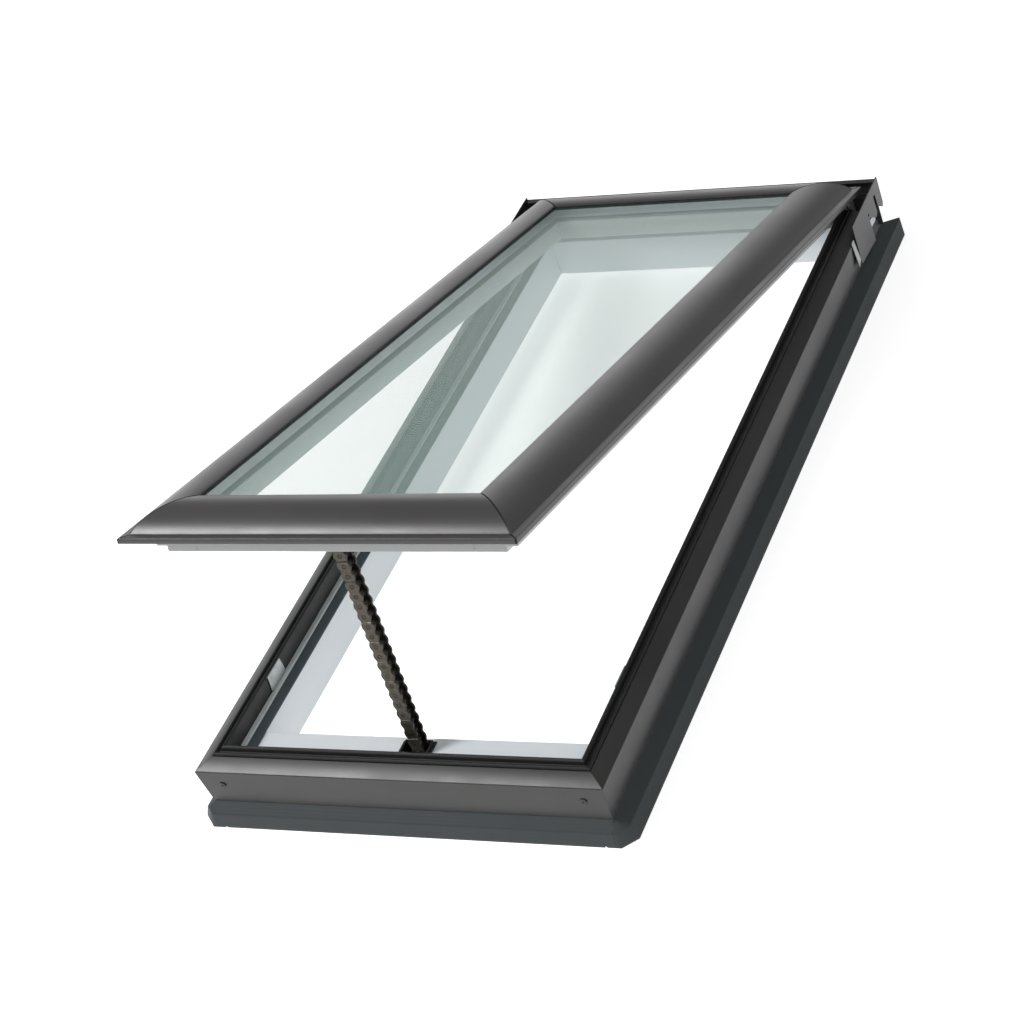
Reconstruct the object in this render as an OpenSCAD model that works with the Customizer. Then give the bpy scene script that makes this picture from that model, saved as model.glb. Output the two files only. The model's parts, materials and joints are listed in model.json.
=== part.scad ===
// Top-hung roof skylight, manual push-chain opener, standing open on its deck face.
// X runs across the opening, Y up the slope to the hinges, Z out of the roof.
// The origin is the middle of the frame's outline, on the roof deck.

/* [Frame] */
// Width over the side claddings
frame_w = 546; // [420:1:900]
// Length over the sill and head claddings
frame_l = 1175; // [800:1:1600]
// Height of the outer top edge above the deck
arris_h = 84; // [76:1:120]
// Thickness of the side and head timbers, cladding included
jamb_t = 51; // [46:1:70]
// Thickness of the sill timber, which holds the opener
sill_t = 91; // [88:1:120]
// Height of the ledge inside the rebate
ledge_h = 65; // [62:1:70]
// Distance from the outer edge in to the black rebate face
rebate_in = 34.5; // [32:0.5:38]
// Height of the lining groove at the bottom inner edge
groove_h = 9; // [5:1:12]
// Depth of the lining groove
groove_d = 12; // [6:1:16]

/* [Frame cladding] */
// Thickness of the aluminium cladding
clad_t = 1.5; // [1:0.1:2]
// Height of the upright face of the cladding
face_h = 50.5; // [40:0.5:56]
// Inward lean of that face at its bottom edge
face_lean = 4.5; // [0:0.5:6]
// Width of the sloping top of the cladding
slope_w = 20; // [14:0.5:24]
// Rise of the sloping top over its width
slope_rise = 9; // [5:0.5:11]

/* [Deck seal] */
// How far the side skirts flare past the frame
seal_out = 19; // [12:1:30]
// How far the front skirt flares past the frame
seal_out_front = 10.5; // [8:0.5:30]
// How far the side skirts run on past the head
seal_past_head = 35; // [20:1:60]
// Thickness of the rubber skirt
seal_t = 3; // [2:0.5:5]
// Size of the cut-off corners
seal_chamfer = 17; // [8:1:26]

/* [Sash] */
// Angle that the sash stands open
open_a = 15.7; // [8:0.1:24]
// Distance of the sash lip in from the frame's side
sash_in = 15; // [14:0.5:20]
// Overhang of the sash's front lip past the frame
lip_over = 3; // [0:0.5:12]
// Distance of the sash's rear lip in from the head
rear_in = 7.5; // [5:0.5:10]
// Height of the closed lip above the frame's outer edge
lip_gap = 12.3; // [11.5:0.1:16]
// Width of the sash cladding bars
bar_w = 74.5; // [70:0.5:90]
// Radius of the bars' rounded back
bar_r = 58; // [54:1:64]
// Height of the bars' crown above the lip's lower edge
bar_top = 31; // [30:0.5:34]
// Height of the lip
lip_h = 7.4; // [6:0.2:9]
// Thickness of the sash cladding
bar_t = 1.6; // [1:0.1:2.2]
// Depth of the sash timber below the lip
wood_drop = 21; // [16:0.5:21.5]
// Depth of the bottom rail below the lip
rail_drop = 28; // [22:0.5:29]
// Width of the sash timber hidden by the bars, short of the glass edge
wood_back = 2.5; // [0:0.5:6]

/* [Glass] */
// Thickness of each pane
pane_t = 4; // [3:0.5:6]
// Gap between the panes
pane_gap = 12; // [8:1:14]
// Cover of the bars over the edge of the glass
glass_cover = 16.5; // [12:0.5:20]

/* [Hinges] */
// Distance of the hinge line in from the head
hinge_in = 15; // [13:0.5:17]
// Distance of the hinge line below the closed lip
hinge_drop = 4.2; // [3.6:0.1:5]
// Radius of the hinge pins
pin_r = 2.5; // [2:0.1:3]
// Thickness of the hinge leaves
leaf_t = 2.2; // [1.8:0.1:2.3]
// Length of the side covers over the hinges
cover_l = 125; // [90:1:180]

/* [Opener] */
// Pitch of the push chain
chain_pitch = 14; // [12:0.5:16]
// Width of a link plate
plate_w = 17; // [14:0.5:18]
// Depth of the chain over its outer plates
chain_d = 18; // [15:0.5:19]
// Thickness of a link plate
plate_t = 1.6; // [1.2:0.1:2]
// Distance of the chain's outlet from the front of the frame
outlet_in = 69; // [66:0.5:70]
// Sideways place of the outlet
outlet_x = 6; // [0:0.5:10]
// Sideways place of the chain's pivot on the sash
pivot_x = -10; // [-14:0.5:0]
// Teeth on the chain wheel
sprocket_n = 5; // [5:1:6]
// Worm wheel's radius over its teeth
worm_wheel_r = 12; // [10:0.5:13]

/* [Hidden] */
$fn = 48;
fit = 0.3;              // clearance between pieces that move past each other
seat = 0.2;             // clearance between pieces that are fixed together
press = 0.02;           // clearance of a pin that is pressed home
pin_fit = 0.05;         // clearance of a pin that turns
cut = 1;                // how far a cutting shape runs past what it cuts
big = 400;              // longer than any cut needs

hw = frame_w / 2;
hl = frame_l / 2;
clad_bottom = arris_h - face_h;
slope = slope_rise / slope_w;

// Frame timber: distances in from the outer edge and heights over the deck
clad_air = 1;               // room between the timber and the inside of its cladding
wood_side = face_lean + clad_t + clad_air;
seal_leg = 12;              // height of the seal's fixing leg
seal_top = clad_bottom + seal_leg;
lean_from = seal_top + clad_air;    // the timber's side leans out above this
shoulder_in = 2.6;          // where that lean ends under the cladding's edge
shoulder_h = arris_h - 3;
gasket_t = 2;
upstand_in = rebate_in - gasket_t;
upstand_h = arris_h + slope_rise - 5;
groove_in = jamb_t - groove_d;
gasket_top = arris_h + rebate_in * slope - 0.5;
strip_w = 8.5;
strip_h = 9;
strip_top = ledge_h + strip_h;
recess_l = jamb_t - 2;      // the hinge recess, measured from the head
recess_h = upstand_h - 28;
gasket_lips = [[2, 3], [4, 5], [5, 7], [8, 6.5], [9.5, 2], [11, 0]];    // width past the slope, drop
lip_root = 5.5;
lip_fall = 1.5;
strip_edge = 1;
inner_drop = 1.6;
inner_edge = [2, 3];
inner_foot = 1.4;
sill_low_x = hw - jamb_t;
sill_up_x = hw - upstand_in - fit;

// Frame cladding: the rear one has an upright flange that the flashing hooks behind
fold_top = arris_h + slope_rise - clad_t - 0.5;     // underside of the cladding at its top fold
fold_side = arris_h - clad_t * 0.7;                 // and inside its outer edge
head_out = 13;
head_y = hl + head_out;
shelf_h = arris_h - 8;
step_h = 2;                 // step of the rear cladding over its shelf
flange_lip = 7;
flange_top = arris_h + 16;
flange_low = arris_h - 28;  // foot of the hinge covers' hooked tabs
flange_foot = arris_h - 14;
cover_h = arris_h + 20.5;
cover_y = hl - cover_l + 15;        // front edge of a hinge cover
cover_fall = 1;             // its top edge falls to the rear by this
arm_y = 47;                 // from the head to the cover's arm
arm_h = 9;
tab_y = 21;
tab_w = 3;
tab_rise = 6;
hook_y = 7;
hook_h = 12;
hook_w = 8;
hook_top = arris_h + 5;
hook_taper = 1;
slot_size = [5, 2.5];
clip_y = hl - cover_l;
clip_air = 0.1;
clip_shape = [[-2, 4], [7, 5], [14.8, -34], [4, -39]];     // along the cover, height from the arris
clad_screw_in = 31;
clad_screw_z = arris_h - 22;
clad_screw_y = -hl + face_lean * (arris_h - clad_screw_z) / face_h;
clad_screw_r = 3.4;
head_air = 0.4;             // gap under a screw's head
head_t = 1.4;

// Deck seal: a leg behind the cladding, then two bands with a knee between them
seal_side = face_lean + clad_t + 0.6;
leg_in = seal_side - 0.6;
fold_h = clad_bottom - 2;
knee = 0.62;                // the knee's share of the flare
knee_h = clad_bottom * 0.56;
band_t = 0.8 * seal_t;      // the upper band is thinner
band_drop = 0.6 * seal_t;
seal_foot = 0.5;
seal_lip = 2;
seal_mitre = 60;            // how far in the corner mitres run
nick_in = 19;
nick = [3, 3, 14];

// Catch plates on the rebate faces
catch_y = -hl + 152;
catch_l = 40;
catch_t = 1.7;
catch_taper = 2;

// Sash, in its closed place
sx = hw - sash_in;
y_lip = -hl - lip_over;
y_rear = hl - rear_in;
z_lip = arris_h + lip_gap;
side_air = 2.5;             // room between the timber of sash and frame, at the sides
end_air = 3.5;              // and at sill and head
stile_d = rebate_in - sash_in + side_air;         // from the side lip to the stile
rail_d = lip_over + rebate_in + end_air;          // from the front lip to the bottom rail
head_d = rebate_in + end_air - rear_in;           // from the rear lip to the top rail
wood_in = bar_w + wood_back;
rail_x = sx - wood_in;
lug_x = hw - jamb_t - fit;
glass_d = bar_w - glass_cover;
bed_d = glass_d - 2;
bed_wall = 22;              // height of the timber outside the glass
wall_in = 36;               // where that height starts
wall_air = 6;               // least room between timber and bar
bed_t = 5;
pane_2 = bed_t + pane_t;
pane_3 = pane_2 + pane_gap;
glass_top = pane_3 + pane_t;
gasket_h = 1.8;
gasket_under = 7;           // how far the glazing gasket runs under the bars
gasket_out = 1.2;           // and how far it shows
spacer_in = 4;
spacer_w = 9;
arc_x = bar_w - 17.5;       // the crown of the rounded back
arc_z = bar_top - bar_r;
bar_facets = 96;
function arc_h(d, r) = arc_z + sqrt(r * r - pow(d - arc_x, 2));
clip_l = 24;
clip_in = 40;
clip_out = 50;
clip_foot = 1.5;
clip_shift = 4;
side_clips = 4;
seal_in = 5;                // how far the sash seal reaches over the frame's gasket
seal_end_in = 28;
seal_low = 3.2;
seal_high = 8;

// Hinge line
hy = hl - hinge_in;
hz = z_lip - hinge_drop;
function opened_y(y, z) = hy + (y - hy) * cos(open_a) + (z - hz) * sin(open_a);
function opened_z(y, z) = hz - (y - hy) * sin(open_a) + (z - hz) * cos(open_a);
hinge_x = hw - rebate_in - fit;                   // outer face of the sash leaf
frame_leaf_x = hinge_x + 1.9;
cover_x = hw + seat;
leaf_front = 14;            // reach of the frame leaf in front of the hinge line
leaf_rear = 5.2;            // and behind it
leaf_up = 6;
leaf_side = 8;              // from the frame's side in to the leaf's edge
leaf_screw_x = hw - 16;
leaf_screw_ys = [hl - recess_l + 9, hy - 4];
leaf_hole_r = 2.2;
leaf_screw_r = 4;
knuckle_r = 6.6;
sash_leaf_l = 60;
sash_leaf_low = z_lip - wood_drop + 3;
sash_leaf_top = z_lip + 2.6;
sash_hole_ys = [hy - 52, hy - 36];
sash_hole_z = hz - 4;
pin_over = 0.8;             // how far a pin stands out of its leaves
button_r = 4.4;
button_t = 1.6;
head_up_x = hinge_x - leaf_t - 4;

// Push chain, from its pivot on the sash to the chain wheel in the sill
outlet_y = -hl + outlet_in;
pivot_y = outlet_y - 3;
pivot_z = z_lip - 13.5;
py = opened_y(pivot_y, pivot_z);
pz = opened_z(pivot_y, pivot_z);
oz = ledge_h + 5;
chain_v = [pivot_x - outlet_x, py - outlet_y, pz - oz];
chain_len = norm(chain_v);
chain_rx = -asin(chain_v[1] / chain_len);
chain_ry = atan2(chain_v[0], chain_v[2]);
end_l = 17;                                       // from the pivot down to the first chain pin
wheel_z = 41;                                     // height of the chain wheel's axle
last_pin = chain_len * (pz - wheel_z) / chain_v[2];
links = round((last_pin - end_l) / chain_pitch);
pitch = (last_pin - end_l) / links;               // whole links reach from the pivot to the wheel
wheel_r = pitch / (2 * sin(180 / sprocket_n));
function along_chain(t) = [pivot_x, py, pz] - chain_v * (t / chain_len);
bush_r = 4;
rivet_r = 3;
rivet_wall = 1.2;
waist = 0.72;                                     // a link plate's waist, as a share of its width
plate_fit = 0.15;
outer_y = chain_d / 2;
inner_y = outer_y - plate_t - plate_fit;
bush_l = 2 * (inner_y - plate_t);

// The chain leaves through a long slot, so that it can curl away sideways under the ledge
end_x = 5.5;
eye_wall = 5.4;
end_slim = 1;
slot_air = 1.7;
slot_x0 = pivot_x - end_x - slot_air;
slot_x1 = outlet_x + plate_w / 2 + slot_air;
slot_y0 = outlet_y - outer_y - slot_air - 0.5;
slot_y1 = outlet_y + outer_y + slot_air - 0.1;
collar_t = 1.6;
collar_top = ledge_h + 7;
rim = [6.5, 4, 2.4];        // how far the outlet's flange reaches round the slot, and its thickness
rim_right = 4.5;

// Fork bracket under the bottom rail, in a pocket cut for it
pocket_y0 = y_lip + 54;
pocket_left = 34;
pocket_right = 44;
pocket_top = z_lip - 4;
ear_x = end_x + 0.4;
ear_t = 2.4;
ear_r = 6;
bracket_x = 24;
bracket_t = 2.2;
axle_r = 3;                 // bracket pin and wheel axle
bracket_pin_l = 2 * (ear_x + 3.6);

// Opener housing in the sill, heights over the deck
box_top = ledge_h - 6;
box_low = 18;
box_wall = 2.5;
foot = 8;                   // the housing's flange, left and right
foot_air = 1;
cover_t = 2;
box_x0 = slot_x0 - 46;
box_x1 = slot_x1 + 10;
box_y0 = outlet_y - 26;
box_y1 = outlet_y + 17;
box_screw_in = 3.6;
box_screw_y = 6;
box_screw_r = 3;
box_screw_t = 1.6;
wheel_c = along_chain(last_pin) - [wheel_r, 0, 0];
gear_t = 6.5;
sprocket_t = 6;
sprocket_tip = 1.6;         // how far its teeth stand out past the pitch circle
notch_air = 0.8;
worm_teeth = 20;
tooth_r = 1.1;
worm_r = 4;
worm_l = 24;
journal_r = 3.5;
axle_air = 0.4;
mesh_air = 0.6;
eye_r = 6;
eye_wire_r = 1.9;
eye_z = eye_r + 2.4;
journal_z = 2 * eye_r + 1.6;
gear_y = box_y0 + box_wall + worm_r - gear_t / 2 + fit;
worm_x = wheel_c[0] - worm_wheel_r - worm_r - mesh_air;
worm_y = gear_y + gear_t / 2;

// ---- helpers ----

// A section drawn as (y, z), run along X
module along_x(x0, x1) translate([x0, 0, 0]) rotate([90, 0, 90]) linear_extrude(x1 - x0) children();

// A section drawn as (x, z), run along Y
module along_y(y0, y1) translate([0, y1, 0]) rotate([90, 0, 0]) linear_extrude(y1 - y0) children();

// A box from one corner to the other
module block(a, b) translate(a) cube(b - a);

// A section drawn as (distance in, height), laid on each member of the frame
module on_jamb(y0, y1) along_y(y0, y1) translate([hw, 0]) mirror([1, 0]) children();
module on_sill(x0, x1) along_x(x0, x1) translate([-hl, 0]) children();
module on_head(x0, x1) along_x(x0, x1) translate([hl, 0]) mirror([1, 0]) children();
module to_left() mirror([1, 0, 0]) children();

// Everything inside the two mitres that start at the corners of a front member
module front_mitre(half, front) translate([0, 0, -big / 2]) linear_extrude(big * 2)
  polygon([[-half - big, front - big], [half + big, front - big], [0, front + half]]);
module rear_mitre(half, rear) translate([0, 0, -big / 2]) linear_extrude(big * 2)
  polygon([[-half - big, rear + big], [half + big, rear + big], [0, rear - half]]);

// The sash's pieces are built closed and swung open about the hinge line
module opened() translate([0, hy, hz]) rotate([-open_a, 0, 0]) translate([0, -hy, -hz]) children();

// ---- frame ----

module jamb_section() polygon([[wood_side, 0], [wood_side, lean_from], [shoulder_in, shoulder_h],
  [slope_w, upstand_h], [upstand_in, upstand_h], [upstand_in, ledge_h],
  [jamb_t, ledge_h], [jamb_t, groove_h], [groove_in, groove_h], [groove_in, 0]]);

module frame_jamb_right() color("ivory") difference() {
  intersection() {
    on_jamb(-hl, hl - wood_side) jamb_section();
    on_sill(0, hw) polygon([[wood_side, 0], [wood_side, lean_from], [shoulder_in, shoulder_h],
      [slope_w, upstand_h], [frame_l, upstand_h], [frame_l, 0]]);
  }
  block([hw - upstand_in - cut, hl - recess_l, recess_h], [hw, hl, big]);
}
module frame_jamb_left() to_left() frame_jamb_right();

module frame_sill() color("ivory") difference() {
  union() {
    on_sill(-sill_low_x, sill_low_x) polygon([[wood_side, 0], [wood_side, ledge_h],
      [sill_t, ledge_h], [sill_t, groove_h], [sill_t - groove_d, groove_h], [sill_t - groove_d, 0]]);
    on_sill(-sill_up_x, sill_up_x) polygon([[wood_side, ledge_h], [shoulder_in, shoulder_h],
      [slope_w, upstand_h], [upstand_in, upstand_h], [upstand_in, ledge_h]]);
  }
  block([box_x0 - seat, box_y0 - seat, -cut], [box_x1 + seat, box_y1 + seat, box_top + seat]);
  block([box_x0 - foot - foot_air, box_y0 - seat, -cut],
    [box_x1 + foot + foot_air, box_y1 + seat, box_low + box_wall + seat]);
  collar(seat, 0, ledge_h + cut);
}
module frame_head() color("ivory") union() {
  on_head(-sill_low_x, sill_low_x) polygon([[wood_side, 0], [wood_side, ledge_h], [jamb_t, ledge_h],
    [jamb_t, groove_h], [groove_in, groove_h], [groove_in, 0]]);
  on_head(-head_up_x, head_up_x) polygon([[wood_side, ledge_h], [shoulder_in, shoulder_h],
    [slope_w, upstand_h], [upstand_in, upstand_h], [upstand_in, ledge_h]]);
}

// ---- frame cladding ----

module clad_section() polygon([[face_lean, clad_bottom], [0, arris_h], [slope_w, arris_h + slope_rise],
  [slope_w, upstand_h + seat], [slope_w - clad_t, upstand_h + seat],
  [slope_w - clad_t, fold_top], [clad_t, fold_side], [face_lean + clad_t, clad_bottom]]);

module clad_sill() color("dimgray") intersection() {
  on_sill(-hw, hw) clad_section();
  front_mitre(hw, -hl);
}
module clad_jamb_right() color("dimgray") difference() {
  on_jamb(-hl, hl - recess_l) clad_section();
  front_mitre(hw, -hl);
}
module clad_jamb_left() to_left() clad_jamb_right();

module clad_head() color("dimgray") union() {
  on_head(-head_up_x, head_up_x) polygon([[0, shelf_h], [0, arris_h], [slope_w, arris_h + slope_rise],
    [slope_w, upstand_h + seat], [slope_w - clad_t, upstand_h + seat],
    [slope_w - clad_t, fold_top], [clad_t, fold_side], [clad_t, shelf_h]]);
  on_head(-hw, hw) polygon([[clad_t, clad_bottom], [clad_t, shelf_h + step_h], [0, shelf_h + step_h],
    [0, shelf_h + clad_t], [-head_out, shelf_h + clad_t], [-head_out, flange_top - clad_t],
    [flange_lip - head_out, flange_top - clad_t], [flange_lip - head_out, flange_top],
    [-head_out - clad_t, flange_top], [-head_out - clad_t, flange_foot], [-head_out, flange_foot],
    [-head_out, shelf_h], [0, shelf_h], [0, clad_bottom]]);
}

// Side cover over each hinge: a flat plate with an arm and a hooked rear tab
module hinge_cover_right() color("dimgray") along_x(cover_x, cover_x + clad_t) difference() {
  polygon([[cover_y, cover_h], [head_y + clad_t, cover_h - cover_fall],
    [head_y + clad_t, flange_low + tab_rise], [head_y - tab_w, flange_low],
    [hl - hook_y, flange_low + hook_h], [hl - tab_y, flange_low + tab_w],
    [hl - arm_y, shelf_h], [hl - arm_y + tab_w, clad_bottom + tab_w], [cover_y, clad_bottom + arm_h]]);
  polygon([[hl - hook_y - hook_w, hook_top], [hl - hook_y - hook_taper, hook_top],
    [hl - hook_y + hook_taper, flange_low - cut], [hl - 2 * hook_y, flange_low - cut]]);
  translate([hl - recess_l, arris_h - slot_size[0]]) square(slot_size);
}
module hinge_cover_left() to_left() hinge_cover_right();

// ---- deck seal ----

module seal_section(out) polygon([[seal_side + seat, seal_top], [leg_in, seal_top],
  [leg_in, fold_h], [-out * knee, knee_h], [-out, seal_lip], [-out, seal_foot],
  [seal_t - out, seal_foot], [band_t - out * knee, knee_h - band_drop],
  [seal_side + seat, fold_h - seal_t]]);

// Cuts a corner of the skirts off at 45 degrees
module corner_cut(y) for (s = [-1, 1])
  translate([s * (hw + seal_out), y, 0]) rotate([0, 0, 45])
    cube([seal_chamfer * sqrt(2), seal_chamfer * sqrt(2), big], center = true);
module deck_seal_front() color("slategray") difference() {
  intersection() {
    on_sill(-hw - seal_out, hw + seal_out) seal_section(seal_out_front);
    translate([0, 0, -cut]) linear_extrude(big) polygon([[-hw - seal_out, -hl - seal_out_front],
      [hw + seal_out, -hl - seal_out_front], [hw - jamb_t, -hl + seal_mitre],
      [-hw + jamb_t, -hl + seal_mitre]]);
  }
  corner_cut(-hl - seal_out_front);
  for (s = [0, 1]) mirror([s, 0, 0])
    block([hw - seal_side - seat, -hl, clad_bottom - fit], [hw + seal_out, 0, big]);
  for (s = [-1, 1]) translate([s * (hw - nick_in), -hl - seal_out_front, 0])
    rotate([0, 0, 45]) cube(nick, center = true);
}
module deck_seal_right() color("slategray") difference() {
  on_jamb(-hl - seal_out_front, hl + seal_past_head) seal_section(seal_out);
  translate([0, 0, -cut]) linear_extrude(big) polygon([[-hw, -hl - seal_out_front - cut],
    [hw + seal_out + cut, -hl - seal_out_front - cut], [hw + seal_out + seat, -hl - seal_out_front],
    [hw - jamb_t + seat, -hl + seal_mitre]]);
  corner_cut(-hl - seal_out_front);
  corner_cut(hl + seal_past_head);
  block([0, hl - clad_t - fit, clad_bottom - fit], [big, hl + big, big]);
}
module deck_seal_left() to_left() deck_seal_right();

// ---- rubber and trim inside the frame ----

// Twin-lipped weather gasket with a leg that lines the rebate
module gasket_section() polygon([[slope_w + seat, upstand_h], [slope_w + seat, gasket_top - lip_root],
  for (p = gasket_lips) [slope_w + p[0], gasket_top - p[1]],
  [rebate_in, gasket_top - lip_fall], [rebate_in, strip_top], [upstand_in, strip_top],
  [upstand_in, upstand_h]]);
module weather_gasket_front() color("black") intersection() {
  on_sill(-hw, hw) gasket_section();
  front_mitre(hw, -hl);
}
module weather_gasket_right() color("black") difference() {
  on_jamb(-hl, hl - recess_l) gasket_section();
  front_mitre(hw, -hl);
}
module weather_gasket_left() to_left() weather_gasket_right();
module weather_gasket_head() color("black") on_head(-head_up_x, head_up_x) gasket_section();

module trim_strip_right() color("gainsboro") on_jamb(-hl + rebate_in, hl - recess_l)
  polygon([[upstand_in, ledge_h], [upstand_in, strip_top], [upstand_in + strip_w - strip_edge, strip_top],
    [upstand_in + strip_w, strip_top - strip_edge], [upstand_in + strip_w, ledge_h]]);
module trim_strip_left() to_left() trim_strip_right();
module inner_gasket_right() color("dimgray") on_jamb(-hl + rebate_in, hl - recess_l)
  polygon([[upstand_in + strip_w, ledge_h], [upstand_in + strip_w, strip_top - inner_drop],
    [jamb_t - inner_edge[0], ledge_h + inner_edge[1]], [jamb_t, ledge_h + inner_foot], [jamb_t, ledge_h]]);
module inner_gasket_left() to_left() inner_gasket_right();

module catch_plate_right() color("silver") along_x(hw - rebate_in - catch_t, hw - rebate_in)
  polygon([[catch_y, strip_top], [catch_y + catch_l, strip_top],
    [catch_y + catch_l - catch_taper, gasket_top - catch_taper],
    [catch_y + catch_taper, gasket_top - catch_taper]]);
module catch_plate_left() to_left() catch_plate_right();

// Spring clips that hold the front edge of each hinge cover
module cover_clips() color("silver") for (s = [0, 1]) mirror([s, 0, 0])
  along_x(hw + clip_air, hw + clip_air + clad_t)
    polygon([for (p = clip_shape) [clip_y + p[0], arris_h + p[1]]]);

module clad_screws() color("gray") for (s = [-1, 1])
  translate([s * (hw - clad_screw_in), clad_screw_y - head_air, clad_screw_z]) rotate([90, 0, 0])
    cylinder(r = clad_screw_r, h = head_t);

// ---- hinges ----

// A cylinder along X, centred on the hinge line
module on_hinge(x0, r, l) translate([x0, hy, hz]) rotate([0, 90, 0]) cylinder(r = r, h = l);

// Angle leaf on the floor of the hinge recess
module frame_hinge_right() color("silver") difference() {
  union() {
    block([frame_leaf_x, hy - leaf_front, recess_h], [frame_leaf_x + leaf_t, hy + leaf_rear, hz + leaf_up]);
    block([frame_leaf_x, hl - recess_l + catch_taper, recess_h],
      [hw - leaf_side, hy + leaf_rear, recess_h + leaf_t]);
  }
  on_hinge(frame_leaf_x - cut, pin_r + pin_fit, leaf_t + 2 * cut);
  for (y = leaf_screw_ys) translate([leaf_screw_x, y, recess_h - cut])
    cylinder(r = leaf_hole_r, h = leaf_t + 2 * cut);
}
module frame_hinge_left() to_left() frame_hinge_right();

// Flat leaf on the outer face of the stile, swung with the sash
module sash_hinge_right() color("silver") opened() difference() {
  union() {
    block([hinge_x - leaf_t, hy - sash_leaf_l, sash_leaf_low], [hinge_x, hy, sash_leaf_top]);
    on_hinge(hinge_x - leaf_t, knuckle_r, leaf_t);
  }
  on_hinge(hinge_x - leaf_t - cut, pin_r + pin_fit, leaf_t + 2 * cut);
  for (y = sash_hole_ys) translate([hinge_x - leaf_t - cut, y, sash_hole_z]) rotate([0, 90, 0])
    cylinder(r = leaf_hole_r, h = leaf_t + 2 * cut);
}
module sash_hinge_left() to_left() sash_hinge_right();

module hinge_pins() color("gray") for (s = [0, 1]) mirror([s, 0, 0]) {
  on_hinge(hinge_x - leaf_t - pin_over, pin_r, frame_leaf_x - hinge_x + 2 * leaf_t + 2 * pin_over);
  on_hinge(frame_leaf_x + leaf_t + fit, button_r, button_t);
  on_hinge(hinge_x - leaf_t - fit - button_t, button_r, button_t);
}

// Screws of the frame leaves, two a side
module hinge_screws() color("gray") for (s = [0, 1], y = leaf_screw_ys) mirror([s, 0, 0])
  translate([leaf_screw_x, y, recess_h + leaf_t]) cylinder(r = leaf_screw_r, h = button_t);

// ---- opener ----

// The slot and a wall round it, grown by d, between two heights
module collar(d, z0, z1) block([slot_x0 - collar_t - d, slot_y0 - collar_t - d, z0],
  [slot_x1 + collar_t + d, slot_y1 + collar_t + d, z1]);

// The bore of the wheel's axle through one wall
module axle_bore(y) translate([wheel_c[0], y - cut, wheel_c[2]]) rotate([-90, 0, 0])
  cylinder(r = axle_r + pin_fit, h = box_wall + 2 * cut);

module operator_housing() color("slategray") difference() {
  union() {
    block([box_x0, box_y0, box_low + box_wall], [box_x1, box_y1, box_top]);
    block([box_x0 - foot, box_y0, box_low], [box_x1 + foot, box_y1, box_low + box_wall]);
  }
  block([box_x0 + box_wall, box_y0 + box_wall, box_low - cut],
    [box_x1 - box_wall, box_y1 - box_wall, box_top - box_wall]);
  collar(-collar_t, box_top - foot - cut, box_top + cut);
  axle_bore(box_y0);
  axle_bore(box_y1 - box_wall);
}
module operator_cover() color("dimgray") difference() {
  block([box_x0 - foot, box_y0, box_low - cover_t], [box_x1 + foot, box_y1, box_low]);
  translate([worm_x, worm_y, box_low - cover_t - cut]) cylinder(r = journal_r + pin_fit, h = cover_t + 2 * cut);
}
module operator_screws() color("gray")
  for (x = [box_x0 - box_screw_in, box_x1 + box_screw_in], y = [box_y0 + box_screw_y, box_y1 - box_screw_y])
    translate([x, y, box_low - cover_t - box_screw_t]) cylinder(r = box_screw_r, h = box_screw_t);

// Dark flanged guide in the ledge, where the chain comes out
module chain_outlet() color("darkslategray") difference() {
  union() {
    block([slot_x0 - rim[0], slot_y0 - rim[1], ledge_h],
      [slot_x1 + rim_right, slot_y1 + rim[1], ledge_h + rim[2]]);
    collar(0, box_top, collar_top);
  }
  collar(-collar_t, 0, big);
}

module chain_sprocket() color("gray") translate(wheel_c) rotate([-90, 0, 0]) {
  linear_extrude(sprocket_t, center = true) difference() {
    circle(r = wheel_r + sprocket_tip);
    for (k = [0 : sprocket_n - 1]) rotate(k * 360 / sprocket_n) translate([wheel_r, 0])
      circle(r = bush_r + notch_air);
    circle(r = axle_r);
  }
  translate([0, 0, box_y0 - wheel_c[1] + axle_air]) cylinder(r = axle_r, h = box_y1 - box_y0 - 2 * axle_air);
}
module worm_wheel() color("goldenrod") translate([wheel_c[0], gear_y, wheel_c[2]]) rotate([-90, 0, 0])
  linear_extrude(gear_t) difference() {
    circle(r = worm_wheel_r);
    for (k = [0 : worm_teeth - 1]) rotate(k * 360 / worm_teeth) translate([worm_wheel_r + fit, 0])
      circle(r = tooth_r);
    circle(r = axle_r + press);
  }

// Worm, its journal and the winding eye below the cover
module worm_spindle() color("gray") translate([worm_x, worm_y, 0]) {
  translate([0, 0, wheel_c[2] - worm_l / 2]) cylinder(r = worm_r, h = worm_l);
  translate([0, 0, journal_z]) cylinder(r = journal_r, h = box_top - box_wall - fit - journal_z);
  translate([0, 0, eye_z]) rotate([90, 0, 0]) rotate_extrude() translate([eye_r - button_t, 0])
    circle(r = eye_wire_r);
}

// ---- push chain ----

module on_chain() translate([pivot_x, py, pz]) rotate([chain_rx, chain_ry, 0]) children();

// A round piece through pin k of the chain
module on_pin(k, r, l) translate([0, 0, -end_l - k * pitch]) rotate([90, 0, 0])
  cylinder(r = r, h = l, center = true);

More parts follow.
